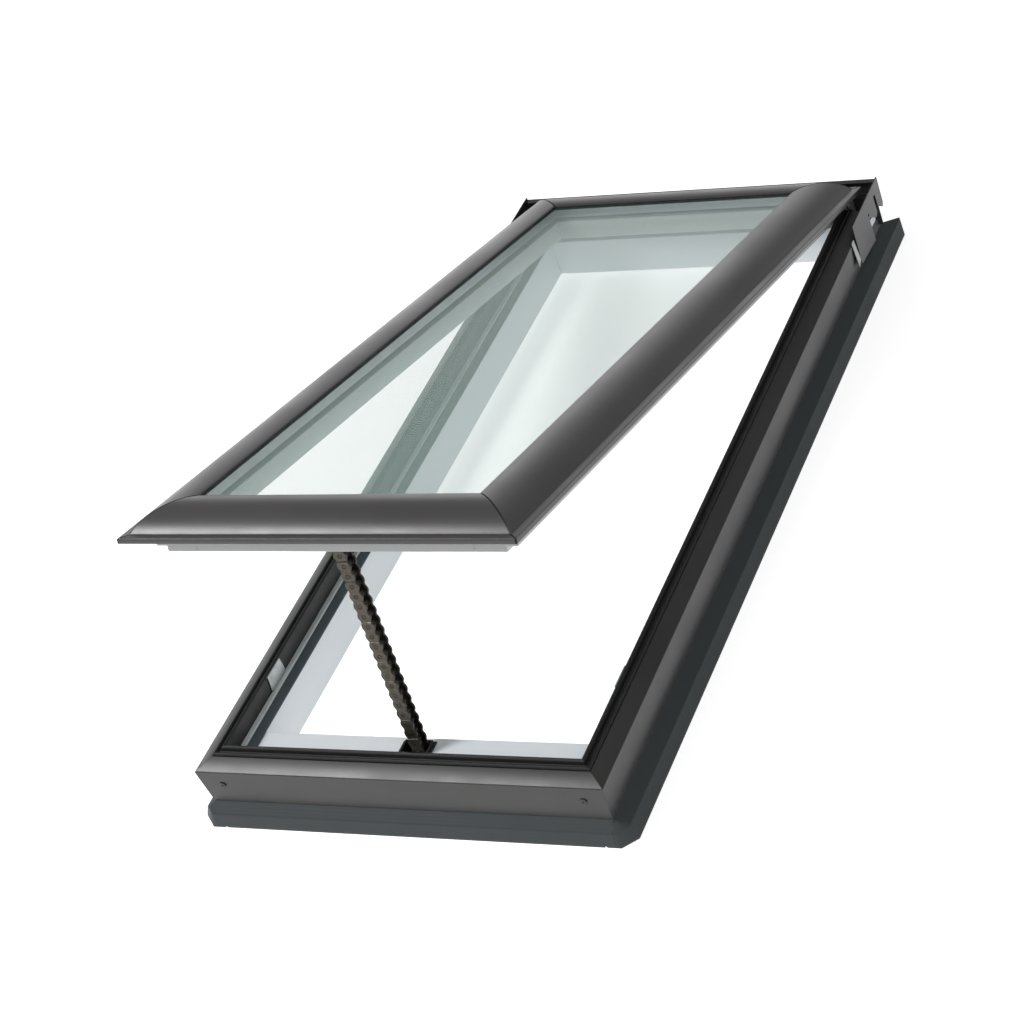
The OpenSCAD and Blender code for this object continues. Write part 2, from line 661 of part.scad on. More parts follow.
// A figure-of-eight plate from pin k to pin k + 1, between two depths.
// Its ends stop short of the next plate.
module link_plate(k, y0, y1) translate([0, y1, -end_l - (k + 1) * pitch]) rotate([90, 0, 0])
  linear_extrude(y1 - y0) difference() {
    intersection() {
      union() {
        circle(d = plate_w);
        translate([0, pitch]) circle(d = plate_w);
        translate([-plate_w * waist / 2, 0]) square([plate_w * waist, pitch]);
      }
      translate([-plate_w, fit - pitch / 2]) square([2 * plate_w, 2 * (pitch - fit)]);
    }
    circle(r = rivet_r);
    translate([0, pitch]) circle(r = rivet_r);
  }
module chain_outer_plates() color("rosybrown") on_chain() for (k = [0 : 2 : links - 1], s = [0, 1])
  mirror([0, s, 0]) link_plate(k, outer_y - plate_t, outer_y);
module chain_inner_plates() color("dimgray") on_chain() for (k = [1 : 2 : links - 1]) {
  for (s = [0, 1]) mirror([0, s, 0]) link_plate(k, inner_y - plate_t, inner_y);
  for (j = [k, k + 1]) difference() {
    on_pin(j, bush_r, bush_l);
    on_pin(j, rivet_r, chain_d);
  }
}
module chain_rivets() color("black") on_chain() for (k = [1 : links]) difference() {
  on_pin(k, rivet_r, chain_d);
  on_pin(k, rivet_r - rivet_wall, chain_d + 2 * cut);
}

// Block that joins the first link to the pivot on the sash
module chain_end_block() color("gray") difference() {
  union() {
    translate([pivot_x - end_x, py, pz]) rotate([0, 90, 0]) cylinder(r = eye_wall, h = 2 * end_x);
    on_chain() {
      block([-end_x, end_slim - eye_wall, -end_l], [end_x, eye_wall - end_slim, 0]);
      on_pin(0, eye_wall, 2 * inner_y);
    }
  }
  translate([pivot_x - big / 2, py, pz]) rotate([0, 90, 0]) cylinder(r = axle_r + pin_fit, h = big);
  on_chain() on_pin(0, rivet_r + press, big);
}

// Fork bracket under the bottom rail
module chain_bracket() color("silver") opened() translate([pivot_x, 0, 0]) difference() {
  union() {
    block([-bracket_x, pocket_y0 + cut, pocket_top - bracket_t],
      [bracket_x, y_lip + wood_in - cut / 2, pocket_top]);
    for (s = [0, 1]) mirror([s, 0, 0]) {
      translate([ear_x, pivot_y, pivot_z]) rotate([0, 90, 0]) cylinder(r = ear_r, h = ear_t);
      block([ear_x, pivot_y - ear_r, pivot_z], [ear_x + ear_t, pivot_y + ear_r, pocket_top - bracket_t / 2]);
    }
  }
  translate([-bracket_x, pivot_y, pivot_z]) rotate([0, 90, 0]) cylinder(r = axle_r + press, h = 2 * bracket_x);
}
module bracket_pin() color("gray") opened() translate([pivot_x - bracket_pin_l / 2, pivot_y, pivot_z])
  rotate([0, 90, 0]) cylinder(r = axle_r, h = bracket_pin_l);

// ---- sash ----

module on_stile() along_y(y_lip, y_rear) translate([sx, z_lip]) mirror([1, 0]) children();
module on_bottom(x0, x1) along_x(x0, x1) translate([y_lip, z_lip]) children();
module on_top(x0, x1) along_x(x0, x1) translate([y_rear, z_lip]) mirror([1, 0]) children();

// Timber section with a glazing bed, set back by d from the lip and that deep below it
module wood_section(d, deep = wood_drop) polygon([[d, -deep], [wood_in, -deep], [wood_in, bed_t],
  [bed_d, bed_t], [bed_d, bed_wall], [max(d, wall_in), bed_wall],
  [d, min(bed_wall, arc_h(d, bar_r - bar_t) - wall_air)]]);

// The stile's front end is as deep as the rail, except where it passes the frame's inner gasket
module sash_stile_right() color("ivory") opened() {
  intersection() {
    on_stile() wood_section(stile_d);
    block([0, y_lip + rail_d, 0], [big, y_rear - head_d, big]);
  }
  block([rail_x, y_lip + rail_d, z_lip - rail_drop], [lug_x, y_lip + wood_in, z_lip - wood_drop + cut]);
}
module sash_stile_left() to_left() sash_stile_right();
module sash_rail_bottom() color("ivory") opened() difference() {
  on_bottom(-rail_x, rail_x) wood_section(rail_d, rail_drop);
  block([pivot_x - pocket_left, pocket_y0, -big], [pivot_x + pocket_right, y_lip + wood_in + cut, pocket_top]);
}
module sash_rail_top() color("ivory") opened() on_top(-rail_x, rail_x) wood_section(head_d);

// Bar cladding: an upright lip, a flat flange and a rounded back
module bar_section() difference() {
  union() {
    square([bar_w, lip_h]);
    intersection() {
      translate([arc_x, arc_z]) circle(r = bar_r, $fn = bar_facets);
      square([bar_w, bar_top + cut]);
    }
  }
  translate([bar_t, -cut]) square([bar_w, lip_h - bar_t + cut]);
  intersection() {
    translate([arc_x, arc_z]) circle(r = bar_r - bar_t, $fn = bar_facets);
    translate([bar_t, 0]) square([bar_w - 2 * bar_t, bar_top + cut]);
  }
  translate([bar_w - bar_t - cut, -cut]) square([bar_t + 2 * cut, glass_top + gasket_h + cut]);
}
module sash_clad_right() color("dimgray") opened() difference() {
  on_stile() bar_section();
  front_mitre(sx, y_lip);
  rear_mitre(sx, y_rear);
}
module sash_clad_left() to_left() sash_clad_right();
module sash_clad_bottom() color("dimgray") opened() intersection() {
  on_bottom(-sx, sx) bar_section();
  front_mitre(sx, y_lip);
}
module sash_clad_top() color("dimgray") opened() intersection() {
  on_top(-sx, sx) bar_section();
  rear_mitre(sx, y_rear);
}

// Plastic clips between the timber and the bars
module clip_section() polygon([[clip_in, bed_wall], [clip_out, bed_wall],
  [clip_out, arc_h(clip_out, bar_r - bar_t) - seat],
  [clip_in + cut, arc_h(clip_in + cut, bar_r - bar_t) - seat],
  [clip_in, arc_h(clip_in + cut, bar_r - bar_t) - clip_foot]]);
module sash_clips() color("black") opened() {
  for (s = [0, 1], k = [1 : side_clips]) mirror([s, 0, 0]) intersection() {
    on_stile() clip_section();
    translate([0, y_lip + k * (y_rear - y_lip) / (side_clips + 1), 0])
      block([0, -clip_l / 2, 0], [big, clip_l / 2, big]);
  }
  for (k = [-1, 1]) {
    on_bottom(k * sx / 2 - clip_l / 2, k * sx / 2 + clip_l / 2) translate([clip_shift, 0]) clip_section();
    on_top(k * sx / 2 - clip_l / 2, k * sx / 2 + clip_l / 2) clip_section();
  }
}

// ---- glass ----

module slab(d, t0, t1) block([-sx + d, y_lip + d, z_lip + t0], [sx - d, y_rear - d, z_lip + t1]);
module outer_pane() color("paleturquoise", 0.5) opened() slab(glass_d, pane_3, glass_top);
module inner_pane() color("paleturquoise", 0.5) opened() slab(glass_d, bed_t, pane_2);
module spacer_bar() color("silver") opened() difference() {
  slab(glass_d + spacer_in, pane_2, pane_3);
  slab(glass_d + spacer_in + spacer_w, pane_2 - cut, pane_3 + cut);
}
module glazing_gasket() color("black") opened() difference() {
  slab(bar_w - gasket_under, glass_top, glass_top + gasket_h);
  slab(bar_w + gasket_out, glass_top - cut, glass_top + gasket_h + cut);
}

// Compression seal round the timber, which the gasket lip meets when the sash shuts
module sash_seal() color("black") opened() difference() {
  block([-hw + rebate_in - seal_in, -hl + seal_end_in, z_lip + seal_low],
    [hw - rebate_in + seal_in, hl - seal_end_in, z_lip + seal_high]);
  block([-sx + stile_d, y_lip + rail_d, z_lip], [sx - stile_d, y_rear - head_d, z_lip + seal_high + cut]);
}

frame_jamb_left();
frame_jamb_right();
frame_sill();
frame_head();
clad_sill();
clad_jamb_left();
clad_jamb_right();
clad_head();
hinge_cover_left();
hinge_cover_right();
deck_seal_front();
deck_seal_left();
deck_seal_right();
weather_gasket_front();
weather_gasket_left();
weather_gasket_right();
weather_gasket_head();
trim_strip_left();
trim_strip_right();
inner_gasket_left();
inner_gasket_right();
catch_plate_left();
catch_plate_right();
cover_clips();
clad_screws();
frame_hinge_left();
frame_hinge_right();
sash_hinge_left();
sash_hinge_right();
hinge_pins();
hinge_screws();
operator_housing();
operator_cover();
operator_screws();
chain_outlet();
chain_sprocket();
worm_wheel();
worm_spindle();
chain_outer_plates();
chain_inner_plates();
chain_rivets();
chain_end_block();
chain_bracket();
bracket_pin();
sash_stile_left();
sash_stile_right();
sash_rail_bottom();
sash_rail_top();
sash_clad_left();
sash_clad_right();
sash_clad_bottom();
sash_clad_top();
sash_clips();
outer_pane();
spacer_bar();
inner_pane();
glazing_gasket();
sash_seal();
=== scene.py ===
"""Looks of a top-hung roof skylight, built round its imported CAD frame.

X runs across the opening, Y up the slope to the hinges and Z out of the roof. Sizes are in
millimetres and become metres when a mesh is made.
"""

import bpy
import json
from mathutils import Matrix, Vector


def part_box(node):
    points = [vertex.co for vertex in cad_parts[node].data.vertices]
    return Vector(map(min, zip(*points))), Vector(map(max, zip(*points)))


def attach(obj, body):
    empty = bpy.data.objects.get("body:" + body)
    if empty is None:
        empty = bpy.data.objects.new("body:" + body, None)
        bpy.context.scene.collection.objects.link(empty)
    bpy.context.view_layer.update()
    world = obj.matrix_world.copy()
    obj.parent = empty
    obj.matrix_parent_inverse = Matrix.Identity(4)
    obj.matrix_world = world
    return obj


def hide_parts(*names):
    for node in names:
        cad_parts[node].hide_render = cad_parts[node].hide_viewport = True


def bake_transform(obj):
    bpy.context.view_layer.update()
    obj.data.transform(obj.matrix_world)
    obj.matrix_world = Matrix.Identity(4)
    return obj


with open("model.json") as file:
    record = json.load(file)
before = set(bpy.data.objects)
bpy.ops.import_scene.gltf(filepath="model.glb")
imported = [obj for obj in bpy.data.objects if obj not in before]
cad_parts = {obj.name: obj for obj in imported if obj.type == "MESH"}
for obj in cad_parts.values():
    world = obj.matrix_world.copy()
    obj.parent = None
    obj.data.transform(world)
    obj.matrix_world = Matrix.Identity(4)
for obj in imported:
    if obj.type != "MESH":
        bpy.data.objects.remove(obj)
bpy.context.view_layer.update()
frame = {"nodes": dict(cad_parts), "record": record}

import json
import logging
import math
from collections.abc import Callable, Iterable
from dataclasses import dataclass, replace
from enum import Enum
from typing import ClassVar

import bmesh
import bpy
import numpy as np
from mathutils import Matrix, Vector

log = logging.getLogger("skylight")
MM = 0.001
SHARP_DEG = 32.0  # edges that turn more than this stay sharp
SOFT_DEG = 50.0  # the same for moulded rubber, whose folds look rounder
FLAT_DEG = 0.5  # faces that turn less than this are joined before a bevel
MERGE_MM = 0.002
BEVEL_STEPS = 2
ARC_REACH = 0.49  # the share of a side that a rounded corner may take
Array = np.ndarray
Place = Callable[[Array, Array, Array], Array]


# ---- finishes ----


def linear(hex_colour: str) -> tuple[float, float, float, float]:
    """Turns an sRGB hex colour into the linear values that a shader takes.

    Args:
        hex_colour: six hex digits after a hash.

    Returns:
        Red, green, blue and an alpha of one.
    """
    channels = [int(hex_colour[i : i + 2], 16) / 255 for i in (1, 3, 5)]
    red, green, blue = (
        c / 12.92 if c <= 0.04045 else ((c + 0.055) / 1.055) ** 2.4 for c in channels
    )
    return red, green, blue, 1.0


def add(
    tree: bpy.types.NodeTree, kind: str, inputs: dict | None = None, **settings: object
) -> bpy.types.Node:
    """Adds one shader node with its settings, values and links.

    Args:
        tree: the material's node tree.
        kind: the node's class name.
        inputs: socket name or number to a value, or to another node's output to link.
        settings: attributes set on the node itself.

    Returns:
        The new node.
    """
    node = tree.nodes.new(kind)
    for name, value in settings.items():
        setattr(node, name, value)
    for name, value in (inputs or {}).items():
        if isinstance(value, bpy.types.NodeSocket):
            tree.links.new(value, node.inputs[name])
        else:
            node.inputs[name].default_value = value
    return node


@dataclass(frozen=True)
class Finish:
    """A solid surface: two close colours in soft patches, with a fine bump.

    Patches and bump are noise on Object coordinates, so their sizes are real. A stretch over one
    on an axis draws the pattern out along it, as brush marks are.
    """

    name: str
    colour: str
    second: str
    roughness: float
    patch_mm: float = 60.0
    bump_mm: float = 0.02
    grit_mm: float = 1.2
    stretch: tuple[float, float, float] = (1.0, 1.0, 1.0)
    metallic: float = 0.0
    uneven: float = 0.05
    alpha: float = 1.0
    noise_low: ClassVar[float] = 0.3
    noise_high: ClassVar[float] = 0.7

    def pattern(
        self, tree: bpy.types.NodeTree, size_mm: float, detail: float
    ) -> bpy.types.NodeSocket:
        """Adds noise whose blobs are size_mm across, drawn out by the stretch.

        Args:
            tree: the material's node tree.
            size_mm: the size of one blob.
            detail: how many finer layers of noise lie on top.

        Returns:
            The noise node's output.
        """
        where = add(tree, "ShaderNodeTexCoord").outputs["Object"]
        squeeze = tuple(1.0 / s for s in self.stretch)
        drawn = add(tree, "ShaderNodeMapping", {"Vector": where, "Scale": squeeze})
        scale = 1.0 / (size_mm * MM)
        inputs = {"Vector": drawn.outputs["Vector"], "Scale": scale, "Detail": detail}
        return add(tree, "ShaderNodeTexNoise", inputs).outputs["Fac"]

    def make(self) -> bpy.types.Material:
        """Builds the material.

        Returns:
            The new material, named for what it is.
        """
        material = bpy.data.materials.new(self.name)
        material.use_nodes = True
        tree = material.node_tree
        shader = tree.nodes["Principled BSDF"]
        shader.inputs["Metallic"].default_value = self.metallic
        shader.inputs["Alpha"].default_value = self.alpha
        patches = self.pattern(tree, self.patch_mm, 3.0)
        colours = {0: patches, 6: linear(self.colour), 7: linear(self.second)}
        mixed = add(tree, "ShaderNodeMix", colours, data_type="RGBA")
        tree.links.new(mixed.outputs[2], shader.inputs["Base Color"])
        spread = {
            "Value": patches,
            "From Min": self.noise_low,
            "From Max": self.noise_high,
            "To Min": self.roughness - self.uneven,
            "To Max": self.roughness + self.uneven,
        }
        gloss = add(tree, "ShaderNodeMapRange", spread)
        tree.links.new(gloss.outputs["Result"], shader.inputs["Roughness"])
        if self.bump_mm:
            height = self.pattern(tree, self.grit_mm, 2.0)
            bump = add(tree, "ShaderNodeBump", {"Height": height, "Distance": self.bump_mm * MM})
            tree.links.new(bump.outputs["Normal"], shader.inputs["Normal"])
        return material


ALONG_Y = (1.0, 30.0, 1.0)
ALONG_X = (30.0, 1.0, 1.0)

# Polyester powder coat on aluminium sheet: satin, neutral grey, with a fine orange peel.
POWDER = Finish("powder_coated_aluminium", "#2a2928", "#2f2e2d", 0.37, 90.0, 0.010, 1.6)
# The sash bars are drawn sheet with the same paint, a little smoother over their curve; their
# colour is a lighter copy of the cladding's, painted light for the brighter light on the bars.
LIT_POWDER_BAR = Finish("powder_coated_sash_bar_painted_light", "#413f40", "#454344", 0.34, 120.0, 0.006, 1.8)
# White factory paint on pine: satin, with faint brush lines along the grain.
PAINT_LONG = Finish(
    "white_painted_pine_long", "#dcdfe3", "#d4d8dc", 0.44, 18.0, 0.02, 2.4, ALONG_Y
)
PAINT_CROSS = Finish(
    "white_painted_pine_cross", "#dee1e5", "#d6dade", 0.44, 18.0, 0.02, 2.4, ALONG_X
)
# The sash's timber has the same white paint, a little flatter; its greyer colour is painted shade,
# for the shade of the glass over it.
SHADED_PAINT_SASH = Finish(
    "white_painted_pine_painted_shade", "#bfc2c1", "#b6b9b8", 0.48, 18.0, 0.02, 2.4, ALONG_X
)
# EPDM skirt: blue-grey, matt and slightly chalky.
SKIRT = Finish("grey_epdm_rubber", "#272e31", "#303739", 0.55, 45.0, 0.03, 0.9, uneven=0.07)
# EPDM gaskets: black, with the soft shine of an extrusion.
GASKET = Finish("black_epdm_rubber", "#0a0a0a", "#101010", 0.56, 25.0, 0.015, 0.8)
INNER_GASKET = Finish("grey_tpe_gasket", "#3b4247", "#454d52", 0.48, 30.0, 0.015, 0.9)
# Extruded PVC trim: light grey and slightly glossy.
TRIM = Finish("light_grey_pvc", "#c9cccd", "#bfc3c5", 0.35, 30.0, 0.008, 1.5)
# Zinc-plated sheet steel: bright, with a cloudy passivated film.
ZINC = Finish(
    "zinc_plated_steel", "#a8abab", "#8f9393", 0.38, 9.0, 0.01, 0.8, metallic=0.9, uneven=0.1
)
# Link plates: nickel bronze plating, dulled by dry lubricant.
LINK = Finish(
    "bronze_plated_steel", "#5c574e", "#3a362f", 0.36, 5.0, 0.02, 0.7, metallic=0.7, uneven=0.1
)
# Inner plates and bushes: the same steel in a darker colour than the outer plates.
INNER_LINK = Finish(
    "darker_bronze_plated_steel", "#38332c", "#26231e", 0.34, 5.0, 0.02, 0.7, metallic=0.7
)
# Rivets: hardened steel, dull and a little lighter where they are headed over.
RIVET = Finish("hardened_rivet_steel", "#3f3b34", "#2e2b26", 0.36, 4.0, 0.01, 0.6, metallic=0.8)
# Gear bronze: cut teeth, golden and bright.
BRONZE = Finish("gear_bronze", "#b08a4c", "#9a7740", 0.32, 6.0, 0.01, 0.5, metallic=1.0)
# Moulded ABS of the opener: black with a fine spark-eroded grain.
ABS = Finish("black_abs", "#17181a", "#1f2022", 0.48, 20.0, 0.03, 0.6)
# Mill-finish aluminium spacer between the panes.
SPACER = Finish("mill_finish_aluminium", "#aeb3b4", "#a0a5a7", 0.35, 15.0, 0.01, 1.0, metallic=0.8)
# Float glass with a low-emission film: clear, with a soft green veil of sky in it.
GLASS = Finish(
    "low_emission_glass", "#8fb0a6", "#94b4aa", 0.06, 400.0, 0.0, uneven=0.01, alpha=0.16
)

# Seamless studio paper: matt and nearly white, with no bump.
PAPER = Finish("pale_paper_floor", "#f6f6f6", "#f3f3f3", 0.8, 900.0, 0.0)

SLOT_FINISH = {
    "painted_pine": PAINT_LONG,
    "dark_cladding": POWDER,
    "deck_seal_rubber": SKIRT,
    "black_rubber": GASKET,
    "grey_rubber": INNER_GASKET,
    "light_trim": TRIM,
    "zinc_steel": ZINC,
    "chain_steel": LINK,
    "opener_plastic": ABS,
    "bronze": BRONZE,
    "clear_glass": GLASS,
    "spacer_metal": SPACER,
}
SLOT_OF = {entry["node"]: entry["material_slot"] for entry in frame["record"]["subparts"]}


class Paints:
    """Makes each finish once and hands out its material."""

    def __init__(self) -> None:
        """Starts with no material made."""
        self.made: dict[str, bpy.types.Material] = {}

    def of(self, finish: Finish) -> bpy.types.Material:
        """Gives the material of a finish, made on first use."""
        if finish.name not in self.made:
            self.made[finish.name] = finish.make()
        return self.made[finish.name]

    def dress(self, piece: bpy.types.Object, finish: Finish) -> None:
        """Gives a piece one finish all over."""
        piece.data.materials.clear()
        piece.data.materials.append(self.of(finish))


paints = Paints()


# ---- meshes ----


def skin(name: str, tubes: Iterable[Array], sharp_deg: float = SHARP_DEG) -> bpy.types.Object:
    """Makes one mesh of closed tubes.

    A tube is a grid of points: rings along its first axis, points round each ring along its
    second. Neighbouring rings are joined by quads, and the first and last rings are capped.

    Args:
        name: the piece's name.
        tubes: arrays of shape (rings, points, 3) in millimetres.
        sharp_deg: edges that turn more than this stay sharp.

    Returns:
        The new object, at the origin.
    """
    points, faces, first = [], [], 0
    for tube in tubes:
        rings, count = tube.shape[:2]
        here = np.arange(count)
        after = np.roll(here, -1)
        row = (first + count * np.arange(rings - 1))[:, None]
        quads = np.stack([row + here, row + after, row + count + after, row + count + here], -1)
        faces += quads.reshape(-1, 4).tolist()
        faces += [(first + here[::-1]).tolist(), (first + here + count * (rings - 1)).tolist()]
        points.append(tube.reshape(-1, 3))
        first += rings * count
    mesh = bpy.data.meshes.new(name)
    mesh.from_pydata((np.concatenate(points) * MM).tolist(), [], faces)
    finish_normals(mesh, sharp_deg)
    piece = bpy.data.objects.new(name, mesh)
    bpy.context.scene.collection.objects.link(piece)
    return piece


def finish_normals(mesh: bpy.types.Mesh, sharp_deg: float) -> None:
    """Turns every face outwards and shades it smooth between sharp edges.

    Args:
        mesh: the mesh to finish.
        sharp_deg: edges that turn more than this stay sharp.
    """
    work = bmesh.new()
    work.from_mesh(mesh)
    bmesh.ops.recalc_face_normals(work, faces=work.faces)
    work.to_mesh(mesh)
    work.free()
    mesh.shade_smooth()
    mesh.set_sharp_from_angle(angle=math.radians(sharp_deg))


def rounded(corners: list[tuple[float, ...]], steps: int = 4) -> Array:
    """Draws a closed outline whose corners may be arcs.

    Each corner is (distance in, height) with an optional radius. The arc touches both sides: its
    centre lies on the bisector, at radius over the sine of half the corner's angle.

    Args:
        corners: the outline's corners in order.
        steps: straight steps in each arc.

    Returns:
        The outline's points, shape (n, 2).
    """
    spots = np.array([c[:2] for c in corners], float)
    parts = []
    for k, corner in enumerate(corners):
        here, before, after = spots[k], spots[k - 1], spots[(k + 1) % len(corners)]
        radius = corner[2] if len(corner) > 2 else 0.0
        if not radius:
            parts.append(here[None])
            continue
        u = (before - here) / np.linalg.norm(before - here)
        v = (after - here) / np.linalg.norm(after - here)
        half = math.acos(np.clip(u @ v, -1, 1)) / 2
        shorter = min(np.linalg.norm(before - here), np.linalg.norm(after - here))
        reach = min(radius / math.tan(half), ARC_REACH * shorter)
        centre = here + (u + v) / np.linalg.norm(u + v) * reach / math.cos(half)
        a, b = here + u * reach - centre, here + v * reach - centre
        turn = math.pi - 2 * half
        t = np.linspace(0, 1, steps + 1)[:, None]
        parts.append(centre + (np.sin((1 - t) * turn) * a + np.sin(t * turn) * b) / math.sin(turn))
    return np.concatenate(parts)


def arc(
    centre: tuple[float, float], radius: float, start: float, end: float, steps: int
) -> list[tuple[float, float]]:
    """Points of a circle's arc between two distances in, along its upper half.

    Height is the centre's plus the root of radius squared less the distance from it squared; the
    points are evenly turned.

    Args:
        centre: the circle's centre.
        radius: its radius.
        start: first distance in.
        end: last distance in.
        steps: straight steps.

    Returns:
        The arc's points.
    """
    first, last = (math.acos((x - centre[0]) / radius) for x in (start, end))
    turn = np.linspace(first, last, steps + 1)
    return list(zip(centre[0] + radius * np.cos(turn), centre[1] + radius * np.sin(turn)))


def member(outline: Array, start: Array | float, end: Array | float, place: Place) -> Array:
    """Carries an outline along a straight member with any cut at its ends.

    Each point of the outline runs straight from its own start to its own end, so a mitre is an
    end that moves with the distance in.

    Args:
        outline: (distance in, height) points, shape (n, 2).
        start: where the member starts, one value or one for each point.
        end: where it ends.
        place: turns (along, distance in, height) into X, Y and Z.

    Returns:
        A tube for skin(), shape (2, n, 3).
    """
    along = np.stack([np.broadcast_to(stop, len(outline)) for stop in (start, end)])
    return place(along, *np.broadcast_arrays(outline[:, 0], outline[:, 1], along)[:2])


def lathe(profile: Array, place: Callable[[Array], Array], around: int = 24) -> Array:
    """Turns a profile about the local Z axis.

    Args:
        profile: (radius, height) points, shape (n, 2).
        place: moves the local points into the part's frame.
        around: points round each ring.

    Returns:
        A tube for skin(), shape (n, around, 3).
    """
    turn = np.linspace(0, 2 * math.pi, around, endpoint=False)
    ring = np.stack([np.cos(turn), np.sin(turn)], -1)
    flat = profile[:, :1, None] * ring[None]
    height = np.broadcast_to(profile[:, 1, None, None], (*flat.shape[:2], 1))
    return place(np.concatenate([flat, height], -1))


def eased(node: str, width_mm: float, finish: Finish) -> bpy.types.Object:
    """Copies a CAD piece and eases its sharp edges with a small bevel.

    The copy's doubles are merged and its flat faces joined first, so the bevel runs only along
    real edges.

    Args:
        node: the CAD node that the copy replaces.
        width_mm: the bevel's width.
        finish: what the piece is finished in.

    Returns:
        The new piece, riding on its node's body.
    """
    mesh = frame["nodes"][node].data.copy()
    work = bmesh.new()
    work.from_mesh(mesh)
    bmesh.ops.remove_doubles(work, verts=work.verts, dist=MERGE_MM * MM)
    bmesh.ops.dissolve_limit(
        work,
        angle_limit=math.radians(FLAT_DEG),
        use_dissolve_boundaries=False,
        verts=work.verts,
        edges=work.edges,
    )
    work.to_mesh(mesh)
    work.free()
    finish_normals(mesh, SHARP_DEG)
    piece = bpy.data.objects.new(f"{node}_eased", mesh)
    bpy.context.scene.collection.objects.link(piece)
    bevel = piece.modifiers.new("eased_edges", "BEVEL")
    bevel.width = width_mm * MM
    bevel.segments = BEVEL_STEPS
    bevel.limit_method = "ANGLE"
    bevel.angle_limit = math.radians(SHARP_DEG)
    bevel.harden_normals = True
    settle(piece, finish, BODY_OF[node], SLOT_OF[node], node)
    return piece


def settle(piece: bpy.types.Object, finish: Finish, body: str, slot: str, *nodes: str) -> None:
    """Dresses a finished piece, ties it to its body and hides the CAD nodes that it stands for.

    Args:
        piece: the finished piece.
        finish: what it is finished in.
        body: the CAD body that it rides on.
        slot: the record's material slot; not used.
        nodes: the CAD nodes that it stands for.
    """
    paints.dress(piece, finish)
    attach(piece, body)
    if nodes:
        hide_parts(*nodes)
    log.info("%s: %d faces on %s", piece.name, len(piece.data.polygons), body)


BODY_OF = {
    node: body for body, nodes in frame["record"]["behaviour"]["bodies"].items() for node in nodes
}
JOINTS = {joint["name"]: joint for joint in frame["record"]["behaviour"]["joints"]}
HINGE = JOINTS["sash_hinge"]


def swung_open(points: Array) -> Array:
    """Swings points of the shut sash up about the hinge line, by the angle it stands open."""
    turn = math.radians(-HINGE["range_deg"][0])
    _, hinge_y, hinge_z = (c / MM for c in HINGE["pos_m"])
    y, z = points[..., 1] - hinge_y, points[..., 2] - hinge_z
    out = points.copy()
    out[..., 1] = hinge_y + y * math.cos(turn) + z * math.sin(turn)
    out[..., 2] = hinge_z - y * math.sin(turn) + z * math.cos(turn)
    return out


class Side(Enum):
    """The four members of a frame."""

    FRONT = "front"
    REAR = "rear"
    LEFT = "left"
    RIGHT = "right"

    @property
    def across(self) -> bool:
        """Whether the member runs along X."""
        return self in (Side.FRONT, Side.REAR)


@dataclass(frozen=True)
class Outline:
    """The rectangle that a frame's outer edge follows, and how its members lie on it."""

    half: float
    front: float
    rear: float
    base: float
    swings: bool = False

    def place(self, side: Side) -> Place:
        """Gives the function that lays (along, distance in, height) on one member."""

        def lay(along: Array, inward: Array, height: Array) -> Array:
            """Along runs with X or Y, and inward points to the frame's middle."""
            x, y = {
                Side.FRONT: (along, self.front + inward),
                Side.REAR: (along, self.rear - inward),
                Side.LEFT: (inward - self.half, along),
                Side.RIGHT: (self.half - inward, along),
            }[side]
            points = np.stack([x, y, self.base + height], -1)
            return swung_open(points) if self.swings else points

        return lay

    def mitre(self, side: Side, inward: Array, gap: float = 0.0) -> tuple[Array, Array]:
        """Where a member starts and ends when both its corners are mitred, less a gap."""
        if side.across:
            return inward - self.half + gap, self.half - inward - gap
        return self.front + inward + gap, self.rear - inward - gap


def corner_of(node: str, high: bool) -> Array:
    """The lowest or highest corner of a CAD node's box, in millimetres."""
    return np.array(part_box(node)[int(high)]) / MM


HALF_W = corner_of("clad_sill", True)[0]
HALF_L = -corner_of("clad_sill", False)[1]
DECK = Outline(HALF_W, -HALF_L, HALF_L, 0.0)


# ---- frame ----


@dataclass
class FrameCladding:
    """Sheet covers of the frame: an upright face, a rounded arris and a sloping top."""

    face_bottom: float = 33.5
    lean: float = 4.5
    arris: float = 84.0
    slope_w: float = 20.0
    slope_rise: float = 9.0
    sheet: float = 1.5
    leg_bottom: float = 88.2
    recess: float = 49.0
    joint: float = 0.25
    arris_r: float = 1.6
    bend_r: float = 0.9
    inner_r: float = 0.4
    inner_drop: float = 0.5
    inner_share: float = 0.7

    def outline(self) -> Array:
        """The folded sheet, from the foot of its face over the arris and back underneath."""
        top = self.arris + self.slope_rise
        inside = self.slope_w - self.sheet
        return rounded(
            [
                (self.lean, self.face_bottom),
                (0, self.arris, self.arris_r),
                (self.slope_w, top, self.bend_r),
                (self.slope_w, self.leg_bottom),
                (inside, self.leg_bottom),
                (inside, top - self.sheet - self.inner_drop),
                (self.sheet, self.arris - self.inner_share * self.sheet, self.inner_r),
                (self.lean + self.sheet, self.face_bottom),
            ]
        )

    def build(self) -> None:
        """Builds the sill's cover and the two jambs' covers."""
        outline = self.outline()
        for side, node in (
            (Side.FRONT, "clad_sill"),
            (Side.LEFT, "clad_jamb_left"),
            (Side.RIGHT, "clad_jamb_right"),
        ):
            start, end = DECK.mitre(side, outline[:, 0], self.joint / 2)
            if not side.across:
                end = HALF_L - self.recess
            piece = skin(f"{node}_sheet", [member(outline, start, end, DECK.place(side))])
            settle(piece, POWDER, "frame", "dark_cladding", node)


